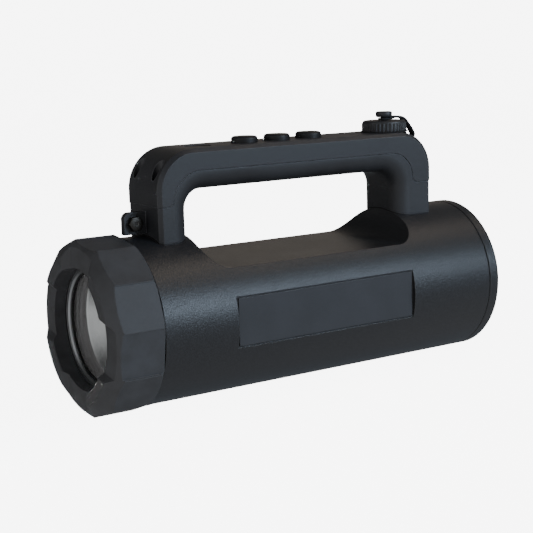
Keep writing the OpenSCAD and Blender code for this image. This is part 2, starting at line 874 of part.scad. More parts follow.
module cover_screws() {
    color("#7f8388") on_axis()
        at_cover_screws() {
            translate([0, 0, close / 2]) difference() {
                cylinder(h = cover_head_h, r = cover_head_r);
                translate([0, 0, cover_head_h / 2])
                    cylinder(h = cover_head_h, r = cover_head_r / 2, $fn = 6);
            }
            translate([0, 0, -cover_screw_len]) cylinder(h = cover_screw_len + sink, r = cover_screw_r);
        }
}

// Hexagon bolt screwed into the lug, with its head on the label side
module lug_bolt() {
    seat = lug_t / 2 + close / 2;
    end = lug_t / 2 - close;
    color("#3b3835") on_axis() translate([lug_hole_x, 0, lug_hole_z]) rotate([90, 0, 0]) {
        translate([0, 0, seat]) cylinder(h = lug_head_h, r = lug_head_r, $fn = 6);
        translate([0, 0, -end]) cylinder(h = end + seat + sink, r = lug_bolt_r);
    }
}

// Leads from the port down the rear leg to the battery, and forward to the switch board
module handle_lead() {
    color("#141414") on_axis() union() {
        post(lead_x, 0, sleeve_r + loose, port_base_z - 2 * close, lead_r);
        translate([pocket_x1 - 1, 0, lead_z]) rotate([0, 90, 0])
            cylinder(h = port_x - port_r - pocket_x1 + 1 - 2 * close, r = lead_r - 0.2);
    }
}

module switch_board() {
    inset = 1;
    color("#2f6b45") on_axis()
        translate([pocket_x0 + inset, -pocket_half + inset, board_z])
            cube([pocket_x1 - pocket_x0 - 2 * inset - 1, 2 * (pocket_half - inset), board_t]);
}

module tact_switches() {
    color("#1c1c1c") on_axis()
        for (x = button_x) {
            translate([x - switch_side / 2, -switch_side / 2, board_z + board_t + close / 2])
                cube([switch_side, switch_side, switch_h]);
            post(x, 0, plunger_z - plunger_h - sink, plunger_z, plunger_r);
        }
}

// Push button with a captive rim under the cover and a rounded top edge
module button(x) {
    edge = 1.6;
    top = handle_top + button_proud;
    color("#1f2226") on_axis() translate([x, 0, 0]) rotate_extrude() union() {
        translate([0, button_rim_z]) square([button_r + button_rim, button_rim_t]);
        translate([0, button_rim_z]) square([button_r, top - edge - button_rim_z]);
        translate([0, button_rim_z]) square([button_r - edge, top - button_rim_z]);
        translate([button_r - edge, top - edge]) circle(edge);
    }
}
module button_front() {
    button(button_x[0]);
}
module button_middle() {
    button(button_x[1]);
}
module button_rear() {
    button(button_x[2]);
}

module indicator_window() {
    color("#101214") on_axis()
        post(indicator_x, 0, handle_top - indicator_depth + close / 2, handle_top - window_drop, window_r);
}

// Round charging socket with a stepped shell
module port_shell() {
    color("#2a2c30") on_axis() difference() {
        post(port_x, 0, port_base_z, port_top, port_r);
        post(port_x, 0, socket_floor, port_top + 1, socket_r);
    }
}

module port_pins() {
    pin_len = 8;
    color("#c9b070") on_axis()
        for (k = [0 : 3])
            rotate_about_port(45 + 90 * k) translate([pin_circle, 0, socket_floor + close / 2]) union() {
                cylinder(h = pin_len, r = pin_r);
                translate([0, 0, pin_len]) sphere(pin_r);
            }
}
module rotate_about_port(a) {
    translate([port_x, 0, 0]) rotate([0, 0, a]) children();
}

// Ribbed screw cap with a knob that carries the tether eye
module cap_outline() {
    circle(dust_cap_r);
    for (k = [0 : dust_cap_ribs - 1])
        rotate(360 * k / dust_cap_ribs) translate([dust_cap_r - rib_sink, 0]) circle(rib_r, $fn = 24);
}
module dust_cap() {
    shoulder = 0.8;
    color("#16181a") on_axis() translate([port_x, 0, 0]) union() {
        difference() {
            translate([0, 0, cap_z]) linear_extrude(dust_cap_h - shoulder) cap_outline();
            translate([0, 0, cap_z - 1]) cylinder(h = cap_roof - cap_z + 1, r = cap_skirt_r);
        }
        rotate_extrude() polygon([
            [0, cap_roof + 0.5], [dust_cap_r - 0.5, cap_roof + 0.5],
            [dust_cap_r - 0.5, cap_top - shoulder + 0.3], [dust_cap_r - 1.2, cap_top],
            [neck_knob_r, cap_top], [neck_knob_r, knob_z],
            [knob_d / 2 - 0.6, knob_z], [knob_d / 2, knob_z + 0.6], [knob_d / 2, knob_z + knob_h - 0.8],
            [knob_d / 2 - 0.8, knob_z + knob_h], [0, knob_z + knob_h]
        ]);
    }
}

module dust_cap_seal() {
    color("#101010") on_axis()
        translate([port_x, 0, port_top + close]) cylinder(h = seal_t, r = port_r - close);
}

module tether_eye() {
    color("#141517") on_axis() translate([port_x, 0, eye_ring_z]) difference() {
        cylinder(h = eye_ring_t, r = eye_ring_r);
        translate([0, 0, -1]) cylinder(h = eye_ring_t + 2, r = eye_bore_r);
    }
}

// Strap and the base ring round the port, moulded in one piece
module tether_strap() {
    color("#141517") on_axis() union() {
        across_y(strap_w) band(smooth_path(strap_path, 4), strap_t);
        translate([port_x, 0, handle_top + close]) difference() {
            cylinder(h = tether_ring_t, r = tether_ring_r);
            translate([0, 0, -1]) cylinder(h = tether_ring_t + 2, r = port_r + close);
        }
    }
}

body_tube();
bezel_o_ring();
front_bezel();
lens_ring();
lens_gasket();
front_lens();
reflector();
lamp_capsule();
lamp_base();
lamp_holder();
ballast();
front_contact();
battery_cells();
battery_sleeve();
contact_spring();
tail_contact();
rear_cap();
rear_cap_o_ring();
foot_gaskets();
handle_frame();
handle_cover();
handle_bolts();
cover_screws();
lug_bolt();
handle_lead();
switch_board();
tact_switches();
button_front();
button_middle();
button_rear();
indicator_window();
port_shell();
port_pins();
dust_cap();
dust_cap_seal();
tether_eye();
tether_strap();
label_plate();
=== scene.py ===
"""Looks of the handheld searchlight: the solids get their finishes, and some pieces are finer.

Metres, in the solids' own frame: the beam leaves along -X, +Z is up and the label faces -Y.
"""
import math

import bmesh
import bpy
from mathutils import Matrix, Vector


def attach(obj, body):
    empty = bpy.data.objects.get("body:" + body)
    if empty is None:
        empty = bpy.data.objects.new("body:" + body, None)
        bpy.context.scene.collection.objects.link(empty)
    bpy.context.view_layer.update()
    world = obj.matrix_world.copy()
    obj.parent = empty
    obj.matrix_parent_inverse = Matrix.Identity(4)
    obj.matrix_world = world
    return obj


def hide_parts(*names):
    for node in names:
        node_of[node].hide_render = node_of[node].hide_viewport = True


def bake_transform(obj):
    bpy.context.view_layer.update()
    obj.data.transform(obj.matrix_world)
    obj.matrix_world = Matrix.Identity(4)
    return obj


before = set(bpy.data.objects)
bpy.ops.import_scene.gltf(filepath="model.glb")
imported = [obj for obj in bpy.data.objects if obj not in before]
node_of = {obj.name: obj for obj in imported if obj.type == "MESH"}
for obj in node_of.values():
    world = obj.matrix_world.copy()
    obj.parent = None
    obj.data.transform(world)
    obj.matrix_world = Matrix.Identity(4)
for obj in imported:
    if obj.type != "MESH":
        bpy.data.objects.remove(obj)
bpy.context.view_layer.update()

# Camera. It stands where the photographer stood, to the left of the label side and a little above,
# and the light was tipped three degrees towards it, so the camera is turned by as much about X.
BEAM_AXIS_Z = 0.045679
camera = bpy.data.objects.new("camera", bpy.data.cameras.new("camera"))
bpy.context.scene.collection.objects.link(camera)
camera.data.sensor_width = 36
camera.data.lens = 81.57
camera.data.clip_end = 60
camera_right = Vector((0.83830, -0.54447, -0.02854))
camera_up = Vector((0.11866, 0.13110, 0.98425))
camera_back = Vector((-0.53215, -0.82848, 0.17451))
camera_eye = Vector((-0.3639, -0.55325, 0.13543 + BEAM_AXIS_Z))
camera.matrix_world = Matrix.Translation(camera_eye) @ Matrix(
    (camera_right, camera_up, camera_back)).transposed().to_4x4()
bpy.context.scene.camera = camera


# Body tube. It is turned and milled from aluminium bar, bead-blasted and anodised black,
# so it has an even fine grain with a soft sheen, and its edges are painted a little paler,
# as light wear and as a painted edge highlight.
# The rear cap, screwed into its tail, has the same finish.
class Channel:
    """One output in a node tree. Arithmetic on it adds Math nodes."""

    def __init__(self, tree, socket):
        self.tree = tree
        self.socket = socket

    def __add__(self, other):
        return self.tree.math("ADD", self, other)

    def __radd__(self, other):
        return self.tree.math("ADD", other, self)

    def __sub__(self, other):
        return self.tree.math("SUBTRACT", self, other)

    def __rsub__(self, other):
        return self.tree.math("SUBTRACT", other, self)

    def __mul__(self, other):
        return self.tree.math("MULTIPLY", self, other)

    def __rmul__(self, other):
        return self.tree.math("MULTIPLY", other, self)

    def __truediv__(self, other):
        return self.tree.math("DIVIDE", self, other)

    def __rtruediv__(self, other):
        return self.tree.math("DIVIDE", other, self)

    def __pow__(self, other):
        return self.tree.math("POWER", self, other)

    def __rpow__(self, other):
        return self.tree.math("POWER", other, self)

    def __gt__(self, other):
        return self.tree.math("GREATER_THAN", self, other)

    def __lt__(self, other):
        return self.tree.math("LESS_THAN", self, other)


class Tree:
    """A node tree that is written as expressions."""

    def __init__(self, tree):
        self.tree = tree

    def add(self, kind, settings=None, inputs=None, output=0):
        """A new node's output, once its settings are made and its inputs are fed."""
        node = self.tree.nodes.new(kind)
        for key, value in (settings or {}).items():
            if key == "stops":
                ramp = node.color_ramp
                while len(ramp.elements) < len(value):
                    ramp.elements.new(1)
                for stop, (position, shade) in zip(ramp.elements, value):
                    stop.position = position
                    stop.color = (shade, shade, shade, 1)
            else:
                setattr(node, key, value)
        for key, value in (inputs or {}).items():
            self.join(value, node.inputs[key])
        return Channel(self, node.outputs[output])

    def join(self, value, socket):
        """Feeds a socket with another node's output, or sets it to a constant."""
        if isinstance(value, Channel):
            self.tree.links.new(value.socket, socket)
        elif isinstance(value, tuple) and len(value) == 3 and socket.type == "RGBA":
            socket.default_value = (*value, 1)
        else:
            socket.default_value = value

    def math(self, operation, *values):
        return self.add("ShaderNodeMath", {"operation": operation}, dict(enumerate(values)))

    def parts(self, vector):
        """X, Y and Z of a vector."""
        x = self.add("ShaderNodeSeparateXYZ", {}, {0: vector})
        return [Channel(self, output) for output in x.socket.node.outputs]

    def steps(self, value, *stops):
        """A shade that runs through stops of (value, shade)."""
        return self.add("ShaderNodeValToRGB", {"stops": stops}, {"Fac": value}, "Color")


class Finish(Tree):
    """A procedural material. Its patterns lie on Object coordinates, in metres."""

    def __init__(self, name, **shader):
        self.material = bpy.data.materials.new(name)
        self.material.use_nodes = True
        super().__init__(self.material.node_tree)
        self.shader = self.tree.nodes["Principled BSDF"]
        self.place = self.add("ShaderNodeTexCoord", output="Object")
        self.feed(**shader)

    def feed(self, **shader):
        """Feeds the shader's inputs, named with _ for each space."""
        for key, value in shader.items():
            self.join(value, self.shader.inputs[key.replace("_", " ")])

    def grain(self, size, detail=2.0, stretch=(1, 1, 1), roughness=0.5):
        """Cloudy noise whose grains are about size metres across."""
        spread = self.add(
            "ShaderNodeMapping", {}, {"Vector": self.place, "Scale": stretch}, "Vector")
        return self.add("ShaderNodeTexNoise", {}, {
            "Vector": spread, "Scale": 1 / size, "Detail": detail, "Roughness": roughness}, "Fac")

    def between(self, low, high, amount):
        """A colour that goes from low to high with amount."""
        return self.add(
            "ShaderNodeMix", {"data_type": "RGBA"}, {0: amount, 6: low, 7: high}, output=2)

    def eased(self, radius):
        """Normals that run round an edge of the given radius, and how near the surface is to it."""
        soft = self.add("ShaderNodeBevel", {"samples": 6}, {"Radius": radius}, "Normal")
        flat = self.add("ShaderNodeNewGeometry", output="Normal")
        alike = self.add(
            "ShaderNodeVectorMath", {"operation": "DOT_PRODUCT"}, {0: soft, 1: flat}, "Value")
        return soft, self.steps(1 - alike, (0.02, 0.0), (0.25, 1.0))

    def bump(self, height, depth, under=None):
        """Normals for a relief of depth metres, on top of the normals under it."""
        inputs = {"Height": height, "Distance": depth, "Strength": 1.0}
        if under is not None:
            inputs["Normal"] = under
        return self.add("ShaderNodeBump", {}, inputs, "Normal")

    def coat(self, *names):
        """Puts the finish on CAD nodes."""
        for name in names:
            slots = node_of[name].data.materials
            slots.clear()
            slots.append(self.material)


blasted = Finish("blasted_black_anodise", Metallic=0.0, IOR=1.5, Specular_IOR_Level=0.42)
blast_grain = blasted.grain(size=0.0008, detail=3.0, roughness=0.65)
blast_cloud = blasted.grain(size=0.03, detail=3.0)
blast_edge, blast_wear_and_edge_sheen = blasted.eased(radius=0.0005)
blast_black = blasted.between((0.0110, 0.0117, 0.0135), (0.0205, 0.0218, 0.0250),
                              blasted.steps(blast_grain, (0.35, 0.0), (0.72, 1.0)))
# Base colour: edges are painted paler where the eased normal turns, as light wear and as a painted
# edge highlight.
blasted.feed(
    Base_Color=blasted.between(blast_black, (0.110, 0.108, 0.104), 0.8 * blast_wear_and_edge_sheen * blast_cloud),
    Roughness=0.30 + 0.08 * blast_cloud + 0.12 * blast_grain,
    Normal=blasted.bump(blast_grain, depth=0.00013, under=blast_edge))
blasted.coat("body_tube", "rear_cap")

# Label plate. A thin plate in satin slate grey, punched from sheet and glued into the flat that is
# milled in the tube's side. It is left bare.
label = Finish("bare_label_plate", Metallic=0.0, IOR=1.5, Specular_IOR_Level=0.42)
label_cloud = label.grain(size=0.02, detail=3.0)
label_grain = label.grain(size=0.0003, detail=1.0)
label_edge, label_wear_and_edge_sheen = label.eased(radius=0.0003)
label_slate = label.between((0.0280, 0.0302, 0.0352), (0.0370, 0.0398, 0.0462), label_cloud)
# Base colour: edges are painted a little paler, as light wear and as a painted edge highlight.
label.feed(
    Base_Color=label.between(label_slate, (0.07, 0.072, 0.078), 0.4 * label_wear_and_edge_sheen),
    Roughness=0.34 + 0.08 * label_cloud,
    Normal=label.bump(label_grain, depth=0.000008, under=label_edge))
label.coat("label_plate")


# Reflector. A bowl spun from aluminium sheet by a parabola's rule and polished bright up to a satin
# grey rim, whose small step and flat flange are clamped between the lens and the tube's neck.
class Shape(Tree):
    """Geometry nodes with named sizes, made into one plain mesh."""

    def __init__(self, name, **sizes):
        super().__init__(bpy.data.node_groups.new(name, "GeometryNodeTree"))
        face = self.tree.interface
        face.new_socket("Geometry", in_out="INPUT", socket_type="NodeSocketGeometry")
        face.new_socket("Geometry", in_out="OUTPUT", socket_type="NodeSocketGeometry")
        self.values = {}
        for key, value in sizes.items():
            kind = "NodeSocketInt" if isinstance(value, int) else "NodeSocketFloat"
            socket = face.new_socket(key.replace("_", " "), in_out="INPUT", socket_type=kind)
            self.values[socket.identifier] = value
        self.entry = self.tree.nodes.new("NodeGroupInput")
        self.exit = self.tree.nodes.new("NodeGroupOutput")
        self.base = Channel(self, self.entry.outputs["Geometry"])

    def size(self, key):
        """One of the named sizes."""
        return Channel(self, self.entry.outputs[key.replace("_", " ")])

    def make(self, name, result, finish, start, sharp=35):
        """The piece that the tree makes from the start, a mesh or a curve."""
        whole = self.add("GeometryNodeRealizeInstances", {}, {"Geometry": result})
        dressed = self.add(
            "GeometryNodeSetMaterial", {}, {"Geometry": whole, "Material": finish.material})
        self.join(dressed, self.exit.inputs["Geometry"])
        former = bpy.data.objects.new(name + "_former", start)
        bpy.context.scene.collection.objects.link(former)
        modifier = former.modifiers.new("rule", "NODES")
        modifier.node_group = self.tree
        for identifier, value in self.values.items():
            modifier[identifier] = value
        former.update_tag()
        graph = bpy.context.evaluated_depsgraph_get()
        mesh = bpy.data.meshes.new_from_object(former.evaluated_get(graph), depsgraph=graph)
        former.modifiers.remove(modifier)
        bpy.data.objects.remove(former)
        return piece_from(name, mesh, finish, sharp)


def piece_from(name, mesh, finish, sharp=35):
    """A finished object from a mesh: closed, faces outwards, smooth up to the sharp angle."""
    work = bmesh.new()
    work.from_mesh(mesh)
    bmesh.ops.remove_doubles(work, verts=work.verts, dist=1e-6)
    bmesh.ops.recalc_face_normals(work, faces=work.faces)
    work.to_mesh(mesh)
    work.free()
    mesh.name = name
    mesh.materials.clear()
    mesh.materials.append(finish.material)
    mesh.shade_smooth()
    mesh.set_sharp_from_angle(angle=math.radians(sharp))
    piece = bpy.data.objects.new(name, mesh)
    bpy.context.scene.collection.objects.link(piece)
    return piece


RIM_RADIUS = 0.0296
bright = Finish("bright_spun_aluminium")
spin_lines = bright.grain(size=0.0009, stretch=(1.0, 0.02, 0.02))
_, bright_y, bright_z = bright.parts(bright.place)
bright_radius = (bright_y ** 2 + (bright_z - BEAM_AXIS_Z) ** 2) ** 0.5
satin_rim = bright.steps(bright_radius / RIM_RADIUS - 0.5, (0.497, 0.0), (0.503, 1.0))
polish_cloud = bright.grain(size=0.012, detail=3.0)
polished = bright.between((0.86, 0.87, 0.88), (0.93, 0.94, 0.94), polish_cloud)
satin = bright.between((0.470, 0.450, 0.458), (0.520, 0.498, 0.507), spin_lines)
bright.feed(
    Base_Color=bright.between(polished, satin, satin_rim),
    Metallic=1 - satin_rim,
    Roughness=0.27 + 0.03 * spin_lines + 0.19 * satin_rim)

# The grid's first half runs out along the bowl's face, and its second half back along the rear.
BACK_START, BACK_END = 0.505, 0.995
bowl = Shape("spun_bowl", Hole_Radius=0.006, Flange_Radius=0.0395, Mouth_X=-0.1091,
             Vertex_X=-0.0711, Focus=0.00695, Wall=0.0015, Rim_Radius=RIM_RADIUS,
             Rim_Step=0.0004, Profile_Steps=135, Turn_Steps=128)
bowl_grid = bowl.add("GeometryNodeMeshGrid", {}, {
    "Size X": 1.0, "Size Y": 1.0,
    "Vertices X": bowl.size("Profile_Steps"), "Vertices Y": bowl.size("Turn_Steps")})
grid_x, grid_y, _ = bowl.parts(bowl.add("GeometryNodeInputPosition"))
along = grid_x + 0.5
turn = (grid_y + 0.5) * (2 * math.pi)
out_and_back = 1 - bowl.math("ABSOLUTE", 2 * along - 1)
back_side = (along > BACK_START) * (along < BACK_END)
bowl_reach = bowl.size("Flange_Radius") - bowl.size("Hole_Radius")
bowl_radius = bowl.size("Hole_Radius") + bowl_reach * out_and_back
parabola = bowl.size("Vertex_X") - bowl_radius * bowl_radius / (4 * bowl.size("Focus"))
rim_step = bowl.size("Rim_Step") * (bowl_radius > bowl.size("Rim_Radius"))
bowl_face = bowl.math("MAXIMUM", parabola + rim_step, bowl.size("Mouth_X"))
bowl_spun = bowl.add("GeometryNodeSetPosition", {}, {
    "Geometry": bowl_grid,
    "Position": bowl.add("ShaderNodeCombineXYZ", {}, {
        "X": bowl_face + bowl.size("Wall") * back_side,
        "Y": bowl_radius * bowl.math("COSINE", turn),
        "Z": BEAM_AXIS_Z + bowl_radius * bowl.math("SINE", turn)})})
spun_bowl = bowl.make("spun_bowl", bowl_spun, bright, bpy.data.meshes.new("bowl_start"), sharp=25)
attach(spun_bowl, "shell")
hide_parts("reflector")

# Lamp. A blown glass capsule on a pale ceramic base, which stands in the reflector's hole on a
# moulded holder. The flat lens in front is the same clear glass.
glass = Finish("clear_glass", Base_Color=(0.97, 0.98, 0.98), IOR=1.48, Transmission_Weight=1.0)
glass.feed(Roughness=0.01 + 0.02 * glass.grain(size=0.01))
glass.coat("front_lens", "lamp_capsule")
ceramic = Finish("lamp_ceramic", IOR=1.5)
ceramic_grain = ceramic.grain(size=0.0006, detail=3.0)
ceramic.feed(
    Base_Color=ceramic.between((0.62, 0.60, 0.55), (0.74, 0.72, 0.66), ceramic_grain),
    Roughness=0.55 + 0.15 * ceramic_grain,
    Normal=ceramic.bump(ceramic_grain, depth=0.00003))
ceramic.coat("lamp_base")

# Power train. A metal ballast can, two printed contact boards and eight shrink-wrapped cells in a
# moulded sleeve, stacked inside the tube. The switch board and the switches in the grip share
# their finishes.
board = Finish("board_green")
board_grain = board.grain(size=0.002)
board.feed(
    Base_Color=board.between((0.02, 0.11, 0.05), (0.04, 0.18, 0.09), board_grain),
    Roughness=0.4 + 0.2 * board_grain)
board.coat("front_contact", "tail_contact", "switch_board")
wrap = Finish("cell_wrap")
wrap_grain = wrap.grain(size=0.004)
wrap.feed(
    Base_Color=wrap.between((0.04, 0.13, 0.30), (0.06, 0.19, 0.38), wrap_grain),
    Roughness=0.3 + 0.2 * wrap_grain)
wrap.coat("battery_cells")
case = Finish("ballast_case", Metallic=1.0)
case_grain = case.grain(size=0.003)
case.feed(
    Base_Color=case.between((0.42, 0.43, 0.44), (0.55, 0.56, 0.57), case_grain),
    Roughness=0.35 + 0.2 * case_grain)
case.coat("ballast")
black_plastic = Finish("black_moulding", Metallic=0.0, IOR=1.5, Specular_IOR_Level=0.5)
black_grain = black_plastic.grain(size=0.0004)
black_edge, black_wear_and_edge_sheen = black_plastic.eased(radius=0.0003)
black_base = black_plastic.between((0.0120, 0.0126, 0.0145), (0.0195, 0.0205, 0.0235), black_grain)
# Base colour: edges are painted paler, as light wear and as a painted edge highlight.
black_plastic.feed(
    Base_Color=black_plastic.between(black_base, (0.060, 0.061, 0.066), 0.5 * black_wear_and_edge_sheen),
    Roughness=0.40 + 0.14 * black_grain,
    Normal=black_plastic.bump(black_grain, depth=0.00002, under=black_edge))
black_plastic.coat("port_shell", "lamp_holder", "battery_sleeve", "tact_switches")


# Lens pack. A turned grey ring and a rubber gasket hold a flat clear glass in the bezel's
# shoulder. The ring is dished a little round its bore, with a groove and a chamfer.
def turned_mesh(name, profile, lie, steps=96):
    """A closed profile of (radius, height) points turned about Z, then laid in place by a matrix."""
    work = bmesh.new()
    columns = []
    for i in range(steps):
        a = 2 * math.pi * i / steps
        columns.append([
            work.verts.new(lie @ Vector((r * math.cos(a), r * math.sin(a), z)))
            for r, z in profile])
    for i in range(steps):
        one, two = columns[i], columns[(i + 1) % steps]
        for k in range(len(profile)):
            j = (k + 1) % len(profile)
            if max(profile[k][0], profile[j][0]) > 0:
                work.faces.new((one[k], two[k], two[j], one[j]))
    bmesh.ops.remove_doubles(work, verts=work.verts, dist=1e-7)
    bmesh.ops.dissolve_degenerate(work, edges=work.edges, dist=1e-7)
    mesh = bpy.data.meshes.new(name)
    work.to_mesh(mesh)
    work.free()
    return mesh


ring_metal = Finish("satin_grey_ring", Metallic=1.0)
ring_grain = ring_metal.grain(size=0.0004)
ring_edge, ring_wear_and_edge_sheen = ring_metal.eased(radius=0.0002)
ring_grey = ring_metal.between((0.24, 0.25, 0.26), (0.31, 0.32, 0.33), ring_grain)
# Base colour: edges are painted paler, as light wear and as a painted edge highlight.
ring_metal.feed(
    Base_Color=ring_metal.between(ring_grey, (0.50, 0.51, 0.53), 0.6 * ring_wear_and_edge_sheen),
    Roughness=0.28 + 0.1 * ring_grain,
    Normal=ring_metal.bump(ring_grain, depth=0.000004, under=ring_edge))
RING_FRONT, RING_BACK, RING_RADIUS, RING_BORE = -0.1156, -0.1134, 0.0367, 0.0288
RING_DISH, GROOVE_FLOOR = RING_FRONT + 0.00017, RING_FRONT + 0.0008
ring_profile = [
    (RING_BORE, RING_BACK), (RING_RADIUS, RING_BACK), (RING_RADIUS, RING_FRONT),
    (RING_BORE + 0.0027, RING_FRONT), (RING_BORE + 0.0014, RING_DISH),
    (RING_BORE + 0.0013, GROOVE_FLOOR), (RING_BORE + 0.0008, GROOVE_FLOOR),
    (RING_BORE + 0.0007, RING_FRONT + 0.0004), (RING_BORE + 0.0001, RING_FRONT + 0.0012),
    (RING_BORE, RING_FRONT + 0.0013)]
along_beam = Matrix.Translation((0.0, 0.0, BEAM_AXIS_Z)) @ Matrix.Rotation(math.radians(90), 4, "Y")
turned_ring = piece_from(
    "turned_lens_ring", turned_mesh("turned_lens_ring", ring_profile, along_beam, 128), ring_metal)
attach(turned_ring, "lens_pack")
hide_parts("lens_ring")
rubber = Finish("black_rubber", Metallic=0.0, IOR=1.45, Specular_IOR_Level=0.35)
rubber_grain = rubber.grain(size=0.0005, detail=3.0)
rubber.feed(
    Base_Color=rubber.between((0.0070, 0.0070, 0.0075), (0.0130, 0.0130, 0.0140), rubber_grain),
    Roughness=0.52 + 0.15 * rubber_grain,
    Normal=rubber.bump(rubber_grain, depth=0.00002))
rubber.coat("lens_gasket", "bezel_o_ring", "rear_cap_o_ring", "foot_gaskets", "dust_cap_seal",
            "handle_lead")

# Bezel. A heavy ring with twelve stepped flats and a notched rim, machined from aluminium, its
# edges eased and the whole anodised a dull, slightly cloudy black. It screws onto the tube and
# clamps the lens pack.
bezel = Finish("dull_black_bezel", Metallic=0.0, IOR=1.5, Specular_IOR_Level=0.5)
bezel_grain = bezel.grain(size=0.0004, detail=3.0, roughness=0.6)
bezel_cloud = bezel.steps(
    bezel.grain(size=0.012, detail=4.0, roughness=0.6), (0.32, 0.0), (0.68, 1.0))
bezel_edge, bezel_wear_and_edge_sheen = bezel.eased(radius=0.0007)
bezel_black = bezel.between((0.0265, 0.0275, 0.0305), (0.0450, 0.0468, 0.0520), bezel_cloud)
# Base colour: flat and step edges are painted paler, as light wear and as a painted edge highlight.
bezel.feed(
    Base_Color=bezel.between(bezel_black, (0.085, 0.087, 0.092), 0.5 * bezel_wear_and_edge_sheen),
    Roughness=0.58 + 0.16 * bezel_cloud,
    Normal=bezel.bump(bezel_grain, depth=0.00003, under=bezel_edge))
bezel.coat("front_bezel")

# Handle. Frame and cover are moulded in charcoal plastic with a fine spark-eroded texture; four
# bolts hold the frame to the tube from inside, and four screws in deep corner holes hold the
# cover down.
moulded = Finish("charcoal_moulding", Metallic=0.0, IOR=1.5, Specular_IOR_Level=0.4)
mould_grain = moulded.grain(size=0.00045, detail=3.0, roughness=0.6)
mould_cloud = moulded.steps(moulded.grain(size=0.025, detail=3.0), (0.32, 0.0), (0.68, 1.0))
mould_edge, mould_wear_and_edge_sheen = moulded.eased(radius=0.0006)
charcoal = moulded.between((0.0165, 0.0172, 0.0200), (0.0240, 0.0253, 0.0292), mould_cloud)
# Base colour: edges and the cover's joint line are painted much paler, as light wear and as a
# painted edge highlight.
moulded.feed(
    Base_Color=moulded.between(charcoal, (0.135, 0.141, 0.156), 0.8 * mould_wear_and_edge_sheen),
    Roughness=0.46 + 0.12 * mould_cloud,
    Normal=moulded.bump(mould_grain, depth=0.00006, under=mould_edge))
moulded.coat("handle_frame", "handle_cover")
steel = Finish("plain_steel", Metallic=1.0)
steel_grain = steel.grain(size=0.0006, detail=3.0)
steel.feed(
    Base_Color=steel.between((0.30, 0.30, 0.31), (0.42, 0.42, 0.43), steel_grain),
    Roughness=0.32 + 0.12 * steel_grain)
steel.coat("handle_bolts", "cover_screws", "contact_spring")


# Lug bolt. A hexagon bolt in dark oxide steel, screwed into the lug; its head has the usual turned
# chamfer on its corners and holds the end of a strap or lanyard.
def hexagon_mesh(name, middle, y_seat, y_end, width, bore):
    """A hexagon about an axis along Y, from seat to chamfered end, with a hole of radius bore."""
    steps = 72
    flat = width / 2
    crown = 0.96 * flat
    way = math.copysign(1, y_end - y_seat)
    work = bmesh.new()
    columns = []
    for i in range(steps):
        turn_deg = 360 * i / steps
        reach = flat / math.cos(math.radians(turn_deg % 60 - 30))
        drop = (reach - crown) * math.tan(math.radians(30))
        across, up = math.cos(math.radians(turn_deg)), math.sin(math.radians(turn_deg))
        profile = ((bore, y_seat), (reach, y_seat), (reach, y_end - way * drop), (crown, y_end),
                   (bore, y_end))
        columns.append([
            work.verts.new((middle[0] + r * across, y, middle[1] + r * up)) for r, y in profile])
    for i in range(steps):
        one, two = columns[i], columns[(i + 1) % steps]
        for k in range(len(one)):
            j = (k + 1) % len(one)
            work.faces.new((one[k], one[j], two[j], two[k]))
    mesh = bpy.data.meshes.new(name)
    work.to_mesh(mesh)
    work.free()
    return mesh


oxide = Finish("dark_oxide_steel", Metallic=1.0)
oxide_grain = oxide.grain(size=0.0007, detail=3.0)
oxide_edge, oxide_wear_and_edge_sheen = oxide.eased(radius=0.0003)
oxide_dark = oxide.between((0.036, 0.034, 0.031), (0.062, 0.057, 0.052), oxide_grain)
# Base colour: corners and edges are painted paler, as light wear and as a painted edge highlight.
oxide.feed(
    Base_Color=oxide.between(oxide_dark, (0.24, 0.23, 0.21), 0.7 * oxide_wear_and_edge_sheen),
    Roughness=0.40 + 0.14 * oxide_grain,
    Normal=oxide_edge)
LUG_HOLE = (-0.0893, 0.096879)
SHANK_RADIUS, SHANK_HEAD_END, SHANK_TIP = 0.0020, -0.0047, 0.0019
shank_profile = [
    (0.0, SHANK_HEAD_END), (0.0016, SHANK_HEAD_END), (SHANK_RADIUS, SHANK_HEAD_END + 0.0004),
    (SHANK_RADIUS, SHANK_TIP - 0.0005), (0.0015, SHANK_TIP), (0.0, SHANK_TIP)]
across_lug = Matrix.Translation((LUG_HOLE[0], 0.0, LUG_HOLE[1])) @ Matrix.Rotation(
    math.radians(-90), 4, "X")
bolt_work = bmesh.new()
bolt_work.from_mesh(hexagon_mesh(
    "bolt_head", LUG_HOLE, y_seat=-0.00205, y_end=-0.00485, width=0.007, bore=0.0010))
bolt_work.from_mesh(turned_mesh("bolt_shank", shank_profile, across_lug, 48))
bolt_mesh = bpy.data.meshes.new("lug_bolt_turned")
bolt_work.to_mesh(bolt_mesh)
bolt_work.free()
lug_bolt_piece = piece_from("lug_bolt_turned", bolt_mesh, oxide)
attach(lug_bolt_piece, "shell")
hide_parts("lug_bolt")

# Buttons and the indicator. Three moulded rubber caps that stand in holes in the cover over their
# switches, and a smoked window of clear plastic, glued into its recess.
button_rubber = Finish("button_rubber", Metallic=0.0, IOR=1.45, Specular_IOR_Level=0.38)
button_grain = button_rubber.grain(size=0.0004)
button_edge, _ = button_rubber.eased(radius=0.0005)
button_rubber.feed(
    Base_Color=button_rubber.between(
        (0.0075, 0.0075, 0.0080), (0.0125, 0.0125, 0.0135), button_grain),
    Roughness=0.42 + 0.12 * button_grain,
    Normal=button_rubber.bump(button_grain, depth=0.00002, under=button_edge))
button_rubber.coat("button_front", "button_middle", "button_rear")
window = Finish("smoked_window", IOR=1.3, Specular_IOR_Level=0.2)
window_cloud = window.grain(size=0.006)
window.feed(
    Base_Color=window.between((0.006, 0.006, 0.007), (0.010, 0.010, 0.011), window_cloud),
    Roughness=0.42 + 0.10 * window_cloud)
window.coat("indicator_window")

